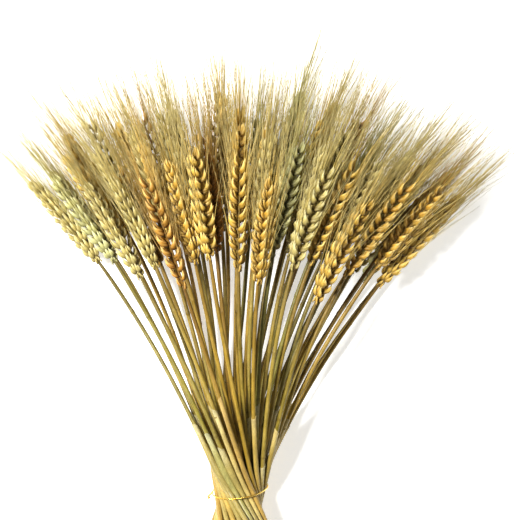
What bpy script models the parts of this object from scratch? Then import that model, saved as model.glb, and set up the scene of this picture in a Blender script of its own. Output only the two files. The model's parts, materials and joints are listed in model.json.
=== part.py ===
"""A tied bunch of dried bearded wheat, lying on a table.

Fifty-nine cut stalks, each one straw with its ear and a few of its awns, are held together by one gilt wire.
The bunch lies along +Y with its ears away from the tie, +X is to the right seen from above, and +Z is up.
The origin is on the table, under the flat bottom of the tie.
"""

import math

import bmesh
import bpy
import numpy as np
from mathutils import Matrix, Vector

# Driving sizes, in metres.
STALKS = 59
PITCH = 0.00425  # from straw to straw inside the tie
STRAW_RADIUS = (0.00175, 0.00160, 0.00110)  # at the cut end, at the tie and at the foot of the ear
CUT_LENGTH = 0.046  # straw on the far side of the tie
EAR_LENGTH = 0.075
EAR_HALF_WIDTH = 0.0081  # across the two rows of spikelets
EAR_HALF_DEPTH = 0.0062
SPIKELETS = 20  # in both rows together
AWN_LENGTH = 0.050
AWN_RADIUS = 0.00055
AWNS = 3  # besides the one at the tip
WIRE = 0.0012
GAP = 0.0004
SEED = 8

# How the bunch opens between the tie and the ears.
TWIST = math.radians(65)  # the straws' spiral, from the tie until it runs out
TWIST_END = 0.200
WAIST = -0.006  # where the bunch is narrowest, on the Y axis
SPRING = 0.50  # how far the bunch springs open just past the tie, in tied widths
SPRING_REACH = 0.030
OPENING = (22.5, 36.0, 150.0)  # its further growth, by the distance, its square and its cube
PILE = 1.95  # growth of the bunch's height, in tied heights, which it nears as it gets far from the tie
PILE_REACH = 0.160
SAG = 0.53  # how far the outer stalks sink towards the table
CURVE = 0.20  # the whole fan's bend to the right, by the square of the distance

# The ears' tips, measured along their stalks from the tie.
FRONT_TIPS = 0.242
BACK_TIPS = 0.290
SIDE_TIPS = 0.262
TIP_SCATTER = 0.012

# The ears are drawn clear of each other in a few rounds.
ROUNDS = 4
TRIES = 30
NEAR = 3.6  # pitches between the straws of two stalks that may touch
FREE = 0.030  # the distance from the tie from which a draw moves the straw

# The tie leans across the bunch: these are its rise along +Y for each metre of +X and of +Z.
TIE_LEAN = (0.13, -0.24)
TIE_SIDES = 26

TONES = {
    "golden_wheat": (0.60, 0.36, 0.10),
    "straw_wheat": (0.58, 0.43, 0.20),
    "green_wheat": (0.33, 0.29, 0.12),
    "amber_wheat": (0.50, 0.23, 0.05),
}


def tied_places():
    """The straws' places in the tie: the close-packed grid's points nearest to an off-centre middle."""
    rows = np.arange(-6, 7)
    grid = np.array([(i + 0.5 * (j % 2), j * math.sqrt(0.75)) for j in rows for i in rows])
    grid -= (-0.25, 0.14)
    nearest = np.argsort(np.hypot(grid[:, 0], grid[:, 1]), kind="stable")[:STALKS]
    return grid[nearest] * PITCH


PLACES = tied_places()
BUNDLE = float(np.hypot(PLACES[:, 0], PLACES[:, 1]).max())
FLOOR_TO_STRAW = STRAW_RADIUS[1] + GAP + WIRE


def smooth(t):
    """An even rise from 0 to 1."""
    t = np.clip(t, 0.0, 1.0)
    return t * t * (3 - 2 * t)


def flow(across, up, y):
    """Where a straw that stands at (across, up) in the tie is, at each y along the bunch.

    The section of the bunch is turned by the spiral, stretched sideways and upwards, and sunk at its sides.
    Every one of these steps is one-to-one, so stalks that follow them never cross. Behind the tie the straws
    run on straight, which opens the bunch again.
    """
    past = y - WAIST
    ahead = np.maximum(past, 0.0)
    behind = np.maximum(-past, 0.0)
    lean = math.sin(TWIST) * (np.clip(1 - ahead / TWIST_END, 0, 1) ** 2 + 2 * behind / TWIST_END)
    sprung = SPRING * (1 - np.exp(-ahead / SPRING_REACH)) - SPRING / SPRING_REACH * behind
    even, square, cube = OPENING
    opened = math.cos(TWIST) + sprung + even * past + square * ahead**2 + cube * ahead**3
    rise = 1 + PILE * (1 - np.exp(-ahead / PILE_REACH))
    height = np.where(past > 0, rise / np.hypot(opened, lean), 1.0)
    x = opened * across + lean * up + CURVE * ahead**2
    z = height * (opened * up - lean * across)
    sunk = SAG * smooth(past / 0.15) * across**2 / BUNDLE
    lift = FLOOR_TO_STRAW + (EAR_HALF_DEPTH - FLOOR_TO_STRAW) * smooth(past / 0.12)
    return np.stack([x, y, z + (rise + 21 * behind) * BUNDLE - rise * sunk + lift], axis=-1)


def girth(t):
    """The ear's width from its foot (0) to its tip (1), as a share of the widest."""
    return np.minimum(1.0, 0.50 + 2.6 * t) * (1 - 0.50 * np.maximum(0.0, 2 * t - 1) ** 1.5)


class Stalk:
    """One stalk: its course through the bunch, and where its ear starts and faces.

    Args:
        place: where its straw stands in the tie.
        draw: the random generator that varies it.
    """

    def __init__(self, place, draw):
        self.place = place
        drift = draw.uniform(-0.30, 0.30, 2) * PITCH
        self.roll = draw.uniform(0, math.pi)
        self.ear_length = EAR_LENGTH * draw.uniform(0.90, 1.08)
        self.cut = CUT_LENGTH * draw.uniform(0.80, 1.0)
        self.ear_foot = self.tip_distance() + draw.uniform(-1, 1) * TIP_SCATTER - self.ear_length
        self.y = np.linspace(WAIST - CUT_LENGTH, 0.42, 300)
        settled = smooth((self.y - WAIST) / 0.14)
        self.points = flow(place[0] + settled * drift[0], place[1] + settled * drift[1], self.y)
        steps = np.linalg.norm(np.diff(self.points, axis=0), axis=1)
        self.length = np.concatenate([[0.0], np.cumsum(steps)])
        self.length -= np.interp(WAIST, self.y, self.length)

    def tip_distance(self):
        """How far along the stalk its ear ends: short at the front, long at the back, between at the sides."""
        side = min(1.0, abs(self.place[0]) / BUNDLE)
        half_height = max(BUNDLE * math.sqrt(1 - side**2), 0.3 * BUNDLE)
        depth = np.clip(0.5 - 0.5 * self.place[1] / half_height, 0, 1)
        centre = FRONT_TIPS + (BACK_TIPS - FRONT_TIPS) * depth
        return centre + (SIDE_TIPS - centre) * side**3

    def at(self, length):
        """The points at these distances along the stalk from the tie."""
        return np.stack([np.interp(length, self.length, self.points[:, k]) for k in range(3)], axis=-1)

    def axes(self, length):
        """The stalk's heading there, and the ear's row and depth directions."""
        heading = Vector(self.at(length + 0.002) - self.at(length - 0.002)).normalized()
        level = heading.cross(Vector((0, 0, 1))).normalized()
        row = level * math.cos(self.roll) + level.cross(heading) * math.sin(self.roll)
        return heading, row, heading.cross(row)

    def spot(self, length, across, deep):
        """The point beside the stalk's line there, across its rows and through its depth."""
        _, row, through = self.axes(length)
        point = Vector(self.at(length)) + row * across + through * deep
        point.z = max(point.z, 0.0)
        return point

    def balls(self):
        """The room that the straw takes past the tie, and the ear, as strings of balls (x, y, z, radius)."""
        straw = np.arange(FREE, self.ear_foot, 0.003)
        straw_radius = np.interp(straw, [-self.cut, 0.0, self.ear_foot], STRAW_RADIUS)
        ear = np.linspace(0.0, 1.0, 22)
        row = np.array(self.axes(self.ear_foot + 0.5 * self.ear_length)[1])
        offset = 0.30 * EAR_HALF_WIDTH * girth(ear)[:, None] * row
        middle = self.at(self.ear_foot + ear * self.ear_length)
        ear_radius = 0.74 * EAR_HALF_WIDTH * girth(ear)
        centres = np.concatenate([self.at(straw), middle + offset, middle - offset])
        return np.column_stack([centres, np.concatenate([straw_radius, ear_radius, ear_radius])])


def clearance(one, other):
    """The smallest gap between two strings of balls."""
    squares = (one[:, None, :3] ** 2).sum(2) + (other[None, :, :3] ** 2).sum(2) - 2 * one[:, :3] @ other[:, :3].T
    return (np.sqrt(np.maximum(squares, 0.0)) - one[:, None, 3] - other[None, :, 3]).min()


def gathered():
    """All the stalks, from the middle of the bunch outwards.

    Each one is drawn until it is clear of its neighbours. The next rounds draw those again that aren't, which later
    ones crowded.
    """
    draw = np.random.default_rng(SEED)
    kept = [None] * STALKS
    for _ in range(ROUNDS):
        for i, place in enumerate(PLACES):
            apart = np.hypot(*(PLACES - place).T)
            near = [one[2] for j, one in enumerate(kept) if one and j != i and apart[j] < NEAR * PITCH]
            taken = np.concatenate([np.full((1, 4), -1.0), *near])
            best = kept[i] and (clearance(kept[i][2], taken), *kept[i][1:])
            for _ in range(TRIES):
                if best and best[0] > GAP:
                    break
                stalk = Stalk(place, draw)
                balls = stalk.balls()
                room = clearance(balls, taken)
                if not best or room > best[0]:
                    best = (room, stalk, balls)
            kept[i] = best
    return [stalk for _, stalk, _ in kept]


def spikelet_ring(stalk, k, step):
    """The four corners of the ear at its spikelet k: that one stands out, and the ear draws in opposite it."""
    side = 1 if k % 2 == 0 else -1
    width = EAR_HALF_WIDTH * girth(k / (SPIKELETS - 1))
    depth = EAR_HALF_DEPTH * girth(k / (SPIKELETS - 1))
    here = stalk.ear_foot + k * step
    proud = stalk.spot(here + 0.50 * step, side * width, 0.0)
    drawn_in = stalk.spot(here - 0.30 * step, -side * 0.52 * width, 0.0)
    front = stalk.spot(here, -side * 0.22 * width, depth)
    back = stalk.spot(here, -side * 0.22 * width, -depth)
    return (proud, front, drawn_in, back) if side > 0 else (drawn_in, front, proud, back)


def ear(stalk, collection):
    """The ear as one lofted skin, with its spikelets standing out in turn left and right, and its last awn."""
    step = stalk.ear_length / (SPIKELETS - 1)
    end = stalk.ear_foot + stalk.ear_length + 1.3 * step
    corners = [spikelet_ring(stalk, k, step) for k in range(SPIKELETS)]
    quarters = ((1, 0), (0, 1), (-1, 0), (0, -1))
    corners.append([stalk.spot(end, AWN_RADIUS * a, AWN_RADIUS * b) for a, b in quarters])
    mesh = bmesh.new()
    rings = [[mesh.verts.new(corner) for corner in ring] for ring in corners]
    for low, high in zip(rings, rings[1:]):
        for a in range(4):
            b = (a + 1) % 4
            mesh.faces.new((low[a], low[b], high[b]))
            mesh.faces.new((low[a], high[b], high[a]))
    mesh.faces.new(rings[0][::-1])
    tip = mesh.verts.new(stalk.at(end + 0.9 * AWN_LENGTH))
    for a in range(4):
        mesh.faces.new((rings[-1][a], rings[-1][(a + 1) % 4], tip))
    return placed("ear", mesh, collection)


def placed(name, mesh, collection):
    """The finished bmesh as an object in the collection."""
    bmesh.ops.recalc_face_normals(mesh, faces=mesh.faces)
    data = bpy.data.meshes.new(name)
    mesh.to_mesh(data)
    mesh.free()
    obj = bpy.data.objects.new(name, data)
    collection.objects.link(obj)
    return obj


def tube(name, points, radii, collection, sides=6, cyclic=False, turns=None):
    """A tube through the points, as a closed mesh.

    Args:
        name: the object's name.
        points: the centre line.
        radii: its radius at each point.
        collection: where it goes.
        sides: 4 or 6.
        cyclic: whether it closes on itself.
        turns: how far its section is turned at each point, in radians.

    Returns:
        The mesh object.
    """
    curve = bpy.data.curves.new(name, "CURVE")
    curve.dimensions = "3D"
    curve.twist_mode = "Z_UP" if cyclic else "MINIMUM"
    curve.bevel_depth = 1.0
    curve.bevel_resolution = (sides - 4) // 2
    curve.use_fill_caps = not cyclic
    line = curve.splines.new("POLY")
    line.points.add(len(points) - 1)
    line.use_cyclic_u = cyclic
    for k, (point, radius) in enumerate(zip(points, radii)):
        line.points[k].co = (*point, 1.0)
        line.points[k].radius = radius
        line.points[k].tilt = 0.0 if turns is None else turns[k]
    guide = bpy.data.objects.new(name, curve)
    collection.objects.link(guide)
    bpy.context.view_layer.update()
    drawn = guide.evaluated_get(bpy.context.evaluated_depsgraph_get())
    mesh = bmesh.new()
    mesh.from_mesh(bpy.data.meshes.new_from_object(drawn))
    bpy.data.objects.remove(guide)
    bmesh.ops.remove_doubles(mesh, verts=mesh.verts, dist=1e-6)
    return placed(name, mesh, collection)


def straw(stalk, collection):
    """The straw, from its cut end into the foot of the ear."""
    foot = stalk.ear_foot
    stations = np.array([-stalk.cut, 0.0, 0.022, 0.052, 0.105, foot + 0.006])
    radii = np.interp(stations, [-stalk.cut, 0.0, foot], STRAW_RADIUS)
    return tube("straw", stalk.at(stations), radii, collection)


def needle(root, tip, collection):
    """One awn, as a slim three-sided cone."""
    along = tip - root
    turn = along.to_track_quat("Z", "Y").to_matrix().to_4x4()
    stand = Matrix.Translation((root + tip) / 2) @ turn
    mesh = bmesh.new()
    bmesh.ops.create_cone(
        mesh, cap_ends=True, segments=3, radius1=AWN_RADIUS, radius2=0, depth=along.length, matrix=stand
    )
    return placed("awn", mesh, collection)


def awns(stalk, taken, draw, collection):
    """A few awns on both sides of the ear, each drawn again until it is clear of the other stalks.

    Args:
        stalk: the stalk that they grow on.
        taken: the balls of all other stalks and of the awns so far.
        draw: the random generator.
        collection: where the awns go.

    Returns:
        The balls of these awns.
    """
    step = stalk.ear_length / (SPIKELETS - 1)
    middle = stalk.at(stalk.ear_foot + stalk.ear_length)
    taken = taken[np.linalg.norm(taken[:, :3] - middle, axis=1) < stalk.ear_length + AWN_LENGTH]
    grown = np.full((1, 4), -1.0)
    for level in np.linspace(6, SPIKELETS - 3, AWNS):
        for _ in range(40):
            k = int(level) + int(draw.integers(0, 2))
            side = 1 if k % 2 == 0 else -1
            face = draw.choice((-1, 1))
            here = stalk.ear_foot + (k + 0.25) * step
            heading, row, through = stalk.axes(here)
            width = EAR_HALF_WIDTH * girth(k / (SPIKELETS - 1))
            root = stalk.spot(here, side * 0.78 * width, face * 0.0006)
            spread = math.tan(math.radians(draw.uniform(11, 18)))
            swing = draw.uniform(0.1, 0.9)
            way = heading + (row * side * math.cos(swing) + through * face * math.sin(swing)) * spread
            tip = root + way.normalized() * AWN_LENGTH * draw.uniform(0.9, 1.0)
            run = np.linspace(0.05, 1, 34)[:, None]
            line = np.array(root) + run * np.array(tip - root)
            balls = np.column_stack([line, AWN_RADIUS * (1.3 - run)])
            if tip.z > 0.001 and clearance(balls, taken) > GAP and clearance(balls[8:], grown) > GAP:
                needle(root, tip, collection)
                grown = np.concatenate([grown, balls])
                break
    return grown


def fused(name, base, extras):
    """The base with everything in the collection joined to it, as one solid."""
    union = base.modifiers.new("union", "BOOLEAN")
    union.operand_type = "COLLECTION"
    union.collection = extras
    union.operation = "UNION"
    union.solver = "MANIFOLD"
    bpy.context.view_layer.update()
    joined = base.evaluated_get(bpy.context.evaluated_depsgraph_get())
    data = bpy.data.meshes.new_from_object(joined)
    base.modifiers.remove(union)
    base.data = data
    base.name = name
    for extra in list(extras.objects):
        bpy.data.objects.remove(extra)
    return base


def tie(bunch, extras):
    """The gilt wire: a ring round the straws, flat underneath, with its ends twisted at the left."""
    angle = (np.arange(TIE_SIDES) + 0.5) * 2 * math.pi / TIE_SIDES
    flat = math.cos(math.pi / TIE_SIDES)
    reach = STRAW_RADIUS[1] + GAP + 0.5 * WIRE
    across = (1.035 * BUNDLE + reach) / flat
    up = (BUNDLE + reach) / flat
    points = np.column_stack([across * np.sin(angle), -up * np.cos(angle), 0 * angle])
    square = np.full(TIE_SIDES, math.pi / 4)
    ring = tube("ring", points, np.full(TIE_SIDES, WIRE / math.sqrt(2)), bunch, 4, True, square)
    centre = up * flat + 0.5 * WIRE
    standing = Matrix(
        (
            (1, 0, 0, 0),
            (TIE_LEAN[0], TIE_LEAN[1], -1, TIE_LEAN[1] * centre),
            (0, 1, 0, centre),
            (0, 0, 0, 1),
        )
    )
    ring.data.transform(standing)
    t = np.linspace(0, 1, 7)
    left = -across - 0.0030 * np.sin(2.2 * t)
    down = centre + 0.0012 - 0.0135 * t
    tail = np.column_stack([left, TIE_LEAN[0] * left + TIE_LEAN[1] * centre - 0.005 * t, down])
    tube("tail", tail, np.full(7, 0.00105), extras, 4, False, t * 4.2)
    return fused("tie", ring, extras)


def painted(name, colour, roughness, metallic=0.0):
    """A Principled material."""
    material = bpy.data.materials.new(name)
    material.use_nodes = True
    shader = material.node_tree.nodes["Principled BSDF"]
    shader.inputs["Base Color"].default_value = (*colour, 1.0)
    shader.inputs["Roughness"].default_value = roughness
    shader.inputs["Metallic"].default_value = metallic
    material.diffuse_color = (*colour, 1.0)
    return material


def main():
    for obj in list(bpy.data.objects):
        bpy.data.objects.remove(obj)
    bunch = bpy.data.collections.new("wheat_bunch")
    extras = bpy.data.collections.new("extras")
    bpy.context.scene.collection.children.link(bunch)
    bpy.context.scene.collection.children.link(extras)
    materials = [painted(name, colour, 0.62) for name, colour in TONES.items()]
    stalks = gathered()
    draw = np.random.default_rng(SEED + 1)
    rooms = [stalk.balls() for stalk in stalks]
    grown = np.full((1, 4), -1.0)
    for number, stalk in enumerate(stalks):
        skin = ear(stalk, bunch)
        straw(stalk, extras)
        others = np.concatenate(rooms[:number] + rooms[number + 1 :] + [grown])
        grown = np.concatenate([grown, awns(stalk, others, draw, extras)])
        whole = fused(f"stalk_{number + 1:02d}", skin, extras)
        whole.data.materials.clear()
        whole.data.materials.append(materials[draw.choice(4, p=(0.36, 0.34, 0.16, 0.14))])
    wire = tie(bunch, extras)
    wire.data.materials.clear()
    wire.data.materials.append(painted("gilt_wire", (0.72, 0.45, 0.12), 0.28, 1.0))
    bpy.data.collections.remove(extras)


main()
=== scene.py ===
"""The looks of a tied bunch of dried bearded wheat, laid on a pale table and seen from straight above.

Each stalk of the solid model gives way to a finished one on the same course: a jointed hollow straw in its leaf
sheath, an ear of husked spikelets, and the long awns that grow from the husks. The plain tie gives way to a twisted
gilt wire. Lengths are in metres, +Y runs from the tie to the ears, +X is to the right seen from above, +Z is up.
"""

import json
import logging
import math
from dataclasses import dataclass
from enum import Enum

import bpy
import numpy as np
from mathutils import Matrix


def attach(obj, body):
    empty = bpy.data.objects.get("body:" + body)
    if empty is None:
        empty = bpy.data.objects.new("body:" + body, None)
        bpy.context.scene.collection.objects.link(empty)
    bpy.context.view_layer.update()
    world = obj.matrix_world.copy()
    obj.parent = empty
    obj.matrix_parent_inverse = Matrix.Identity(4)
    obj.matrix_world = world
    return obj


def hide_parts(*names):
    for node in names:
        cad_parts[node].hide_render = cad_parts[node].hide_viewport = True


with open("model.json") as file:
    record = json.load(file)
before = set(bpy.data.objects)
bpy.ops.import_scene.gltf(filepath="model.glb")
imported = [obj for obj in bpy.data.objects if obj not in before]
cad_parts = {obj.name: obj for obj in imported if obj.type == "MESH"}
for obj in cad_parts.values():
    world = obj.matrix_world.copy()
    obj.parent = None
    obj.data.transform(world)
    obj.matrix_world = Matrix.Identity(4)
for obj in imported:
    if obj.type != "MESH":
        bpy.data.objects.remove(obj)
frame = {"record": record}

Array = np.ndarray
Colour = tuple[float, float, float, float]
Pair = tuple[float, float]
Triple = tuple[float, float, float]
Draw = np.random.Generator
Socket = bpy.types.NodeSocket
Value = Socket | float | tuple
Material = bpy.types.Material
Tree = bpy.types.NodeTree
Object = bpy.types.Object
UP = np.array([0.0, 0.0, 1.0])


# ---- small sums


def smooth(t: Array) -> Array:
    """An even rise from 0 to 1: 3t² - 2t³, held at its ends."""
    t = np.clip(t, 0.0, 1.0)
    return t * t * (3 - 2 * t)


def unit(vectors: Array) -> Array:
    """The vectors, each divided by its length."""
    return vectors / np.linalg.norm(vectors, axis=-1, keepdims=True)


def paint(red: int, green: int, blue: int) -> Colour:
    """A colour as a screen shows it, from 0 to 255 a channel, turned into the linear values that shaders use."""
    shown = np.array([red, green, blue]) / 255
    linear = np.where(shown <= 0.04045, shown / 12.92, ((shown + 0.055) / 1.055) ** 2.4)
    return (*(float(channel) for channel in linear), 1.0)


def corners(sides: int) -> Array:
    """The angles of an even polygon's corners, from 0."""
    return np.arange(sides) * 2 * math.pi / sides


def share_of(values: Array) -> Array:
    """The values, brought to 0 at the lowest and 1 at the highest."""
    return (values - values.min()) / (values.max() - values.min())


def encircled(line: Array, one: Array, other: Array, sides: int, radius: Array) -> Array:
    """Rings round a line: each point plus radius * (cos a * one + sin a * other).

    Args:
        line: the points, (..., 3).
        one: the direction at angle 0, at each point.
        other: the direction a quarter turn on.
        sides: how many points a ring has.
        radius: the radius, (..., sides) or (..., 1).

    Returns:
        The rings' points, (..., sides, 3).
    """
    angle = corners(sides)[:, None]
    ring = one[..., None, :] * np.cos(angle) + other[..., None, :] * np.sin(angle)
    return line[..., None, :] + ring * radius[..., None]


# ---- the bunch's plan


@dataclass(frozen=True)
class StalkSizes:
    """The sizes of one stalk, which are the solid model's own."""

    straw_radius: Triple = (0.00175, 0.00160, 0.00110)  # at the cut, the tie and the ear's foot
    cut_length: float = 0.046
    ear_length: float = 0.075
    ear_half_width: float = 0.0081
    ear_half_depth: float = 0.0062
    spikelets: int = 20
    awn_length: float = 0.050


@dataclass(frozen=True)
class BunchPlan:
    """How the stalks run from the tie to the ears, on the same formula and the same draws as the solid model."""

    sizes: StalkSizes = StalkSizes()
    stalks: int = 59
    pitch: float = 0.00425
    off_centre: Pair = (-0.25, 0.14)  # the grid's shift in the tie, in pitches
    wire: float = 0.0012
    gap: float = 0.0004
    seed: int = 8
    twist: float = math.radians(65)
    twist_end: float = 0.200
    waist: float = -0.006
    spring: float = 0.50
    spring_reach: float = 0.030
    opening: Triple = (22.5, 36.0, 150.0)  # by the distance, its square and its cube
    pile: float = 1.95
    pile_reach: float = 0.160
    pile_behind: float = 21.0
    sag: float = 0.53
    sag_reach: float = 0.15
    lift_reach: float = 0.12
    curve: float = 0.20
    far_end: float = 0.42
    drift: float = 0.30  # how far a straw strays from its place in the tie, in pitches
    drift_reach: float = 0.14
    ear_range: Pair = (0.90, 1.08)
    cut_range: Pair = (0.80, 1.0)
    front_tips: float = 0.242
    back_tips: float = 0.290
    side_tips: float = 0.262
    thinnest: float = 0.3  # the bunch's least depth for its tips, in radii
    tip_scatter: float = 0.012
    rounds: int = 4
    tries: int = 30
    near: float = 3.6
    free: float = 0.030

    def places(self) -> Array:
        """The straws' places in the tie: the close-packed grid's points nearest to an off-centre middle."""
        rows = np.arange(-6, 7)
        grid = np.array([(i + 0.5 * (j % 2), j * math.sqrt(0.75)) for j in rows for i in rows])
        grid -= self.off_centre
        nearest = np.argsort(np.hypot(grid[:, 0], grid[:, 1]), kind="stable")[: self.stalks]
        return grid[nearest] * self.pitch

    def bundle(self) -> float:
        """The distance from the middle of the tie to the centre of its outermost straw."""
        places = self.places()
        return float(np.hypot(places[:, 0], places[:, 1]).max())

    def flow(self, across: Array, up: Array, y: Array, bundle: float) -> Array:
        """Where a straw that stands at (across, up) in the tie is, at each y along the bunch.

        The section is turned by the spiral, stretched sideways by a rising curve of y, raised by
        1 + pile * (1 - e^-y), and sunk at its sides by the square of the distance from its middle.

        Args:
            across: the straw's place in the tie, along X.
            up: its place in the tie, along Z.
            y: the stations along the bunch.
            bundle: the tied bunch's radius.

        Returns:
            The points, one row for each station.
        """
        past = y - self.waist
        ahead = np.maximum(past, 0.0)
        behind = np.maximum(-past, 0.0)
        unwound = np.clip(1 - ahead / self.twist_end, 0, 1) ** 2 + 2 * behind / self.twist_end
        lean = math.sin(self.twist) * unwound
        sprung = self.spring * (1 - np.exp(-ahead / self.spring_reach)) - self.spring / self.spring_reach * behind
        even, square, cube = self.opening
        opened = math.cos(self.twist) + sprung + even * past + square * ahead**2 + cube * ahead**3
        rise = 1 + self.pile * (1 - np.exp(-ahead / self.pile_reach))
        height = np.where(past > 0, rise / np.hypot(opened, lean), 1.0)
        x = opened * across + lean * up + self.curve * ahead**2
        z = height * (opened * up - lean * across)
        sunk = self.sag * smooth(past / self.sag_reach) * across**2 / bundle
        foot = self.sizes.straw_radius[1] + self.gap + self.wire
        lift = foot + (self.sizes.ear_half_depth - foot) * smooth(past / self.lift_reach)
        return np.stack([x, y, z + (rise + self.pile_behind * behind) * bundle - rise * sunk + lift], axis=-1)

    def gathered(self) -> list["Course"]:
        """All the stalks' courses, from the middle of the bunch outwards.

        Each is drawn until it is clear of its neighbours. The next rounds draw those again that later ones crowded.

        Returns:
            The courses, in the order of the solid model's stalks.
        """
        draw = np.random.default_rng(self.seed)
        bundle = self.bundle()
        places = self.places()
        kept: list[tuple[float, Course, Array] | None] = [None] * self.stalks
        for _ in range(self.rounds):
            for i, place in enumerate(places):
                apart = np.hypot(*(places - place).T)
                near = [one[2] for j, one in enumerate(kept) if one and j != i and apart[j] < self.near * self.pitch]
                taken = np.concatenate([np.full((1, 4), -1.0), *near])
                best = kept[i] and (clearance(kept[i][2], taken), *kept[i][1:])
                for _ in range(self.tries):
                    if best and best[0] > self.gap:
                        break
                    course = Course(self, place, bundle, draw)
                    balls = course.balls(self.free)
                    room = clearance(balls, taken)
                    if not best or room > best[0]:
                        best = (room, course, balls)
                kept[i] = best
        return [course for _, course, _ in kept]


def girth(t: Array) -> Array:
    """The ear's width from its foot (0) to its tip (1), as a share of the widest."""
    foot, widening, narrowing = 0.50, 2.6, 0.50
    return np.minimum(1.0, foot + widening * t) * (1 - narrowing * np.maximum(0.0, 2 * t - 1) ** 1.5)


def clearance(one: Array, other: Array) -> float:
    """The smallest gap between two strings of balls, each ball a row of x, y, z and radius."""
    squares = (one[:, None, :3] ** 2).sum(2) + (other[None, :, :3] ** 2).sum(2) - 2 * one[:, :3] @ other[:, :3].T
    return float((np.sqrt(np.maximum(squares, 0.0)) - one[:, None, 3] - other[None, :, 3]).min())


class Course:
    """One stalk's line through the bunch, and where its ear starts and faces."""

    def __init__(self, plan: BunchPlan, place: Array, bundle: float, draw: Draw) -> None:
        """Draws the course.

        Args:
            plan: the bunch's plan.
            place: where the straw stands in the tie.
            bundle: the tied bunch's radius.
            draw: the random generator that varies it.
        """
        self.sizes = plan.sizes
        self.place = place
        self.bundle = bundle
        drift = draw.uniform(-plan.drift, plan.drift, 2) * plan.pitch
        self.roll = draw.uniform(0, math.pi)
        self.ear_length = self.sizes.ear_length * draw.uniform(*plan.ear_range)
        self.cut = self.sizes.cut_length * draw.uniform(*plan.cut_range)
        scatter = draw.uniform(-1, 1) * plan.tip_scatter
        self.ear_foot = self.tip_distance(plan, bundle) + scatter - self.ear_length
        y = np.linspace(plan.waist - self.sizes.cut_length, plan.far_end, 300)
        settled = smooth((y - plan.waist) / plan.drift_reach)
        self.points = plan.flow(place[0] + settled * drift[0], place[1] + settled * drift[1], y, bundle)
        steps = np.linalg.norm(np.diff(self.points, axis=0), axis=1)
        self.length = np.concatenate([[0.0], np.cumsum(steps)])
        self.length -= np.interp(plan.waist, y, self.length)

    def tip_distance(self, plan: BunchPlan, bundle: float) -> float:
        """How far along the stalk its ear ends: short at the front, long at the back, between at the sides."""
        side = min(1.0, abs(self.place[0]) / bundle)
        half_height = bundle * max(math.sqrt(1 - side**2), plan.thinnest)
        depth = np.clip(0.5 - 0.5 * self.place[1] / half_height, 0, 1)
        centre = plan.front_tips + (plan.back_tips - plan.front_tips) * depth
        return centre + (plan.side_tips - centre) * side**3

    @property
    def step(self) -> float:
        """The distance along the ear from one spikelet to the next."""
        return self.ear_length / (self.sizes.spikelets - 1)

    def at(self, length: Array) -> Array:
        """The points at these distances along the stalk from the tie."""
        return np.stack([np.interp(length, self.length, self.points[:, k]) for k in range(3)], axis=-1)

    def axes(self, length: Array) -> tuple[Array, Array, Array]:
        """The stalk's heading at these distances, and the ear's row and depth directions, each of length 1."""
        length = np.asarray(length, float)
        heading = unit(self.at(length + 0.002) - self.at(length - 0.002))
        level = unit(np.cross(heading, UP))
        row = level * math.cos(self.roll) + np.cross(level, heading) * math.sin(self.roll)
        return heading, row, np.cross(heading, row)

    def spot(self, length: Array, across: Array, deep: Array) -> Array:
        """The points beside the stalk's line, across its rows and through its depth."""
        _, row, through = self.axes(length)
        return self.at(length) + row * np.asarray(across)[..., None] + through * np.asarray(deep)[..., None]

    def balls(self, start: float) -> Array:
        """The room that the ear takes, and the straw from `start` on, as strings of balls (x, y, z, radius)."""
        straw = np.arange(start, self.ear_foot, 0.003)
        straw_radius = np.interp(straw, [-self.cut, 0.0, self.ear_foot], self.sizes.straw_radius)
        ear = np.linspace(0.0, 1.0, 22)
        row = self.axes(self.ear_foot + 0.5 * self.ear_length)[1]
        apart, round_share = 0.30, 0.74
        offset = apart * self.sizes.ear_half_width * girth(ear)[:, None] * row
        middle = self.at(self.ear_foot + ear * self.ear_length)
        ear_radius = round_share * self.sizes.ear_half_width * girth(ear)
        centres = np.concatenate([self.at(straw), middle + offset, middle - offset])
        return np.column_stack([centres, np.concatenate([straw_radius, ear_radius, ear_radius])])


# ---- meshes


class Organ(Enum):
    """What a patch of the plant is: its shares of husk, awn and sheath, or none of them on the bare straw."""

    STRAW = (0.0, 0.0, 0.0)
    HUSK = (1.0, 0.0, 0.0)
    AWN = (0.0, 1.0, 0.0)
    SHEATH = (0.0, 0.0, 1.0)


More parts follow.
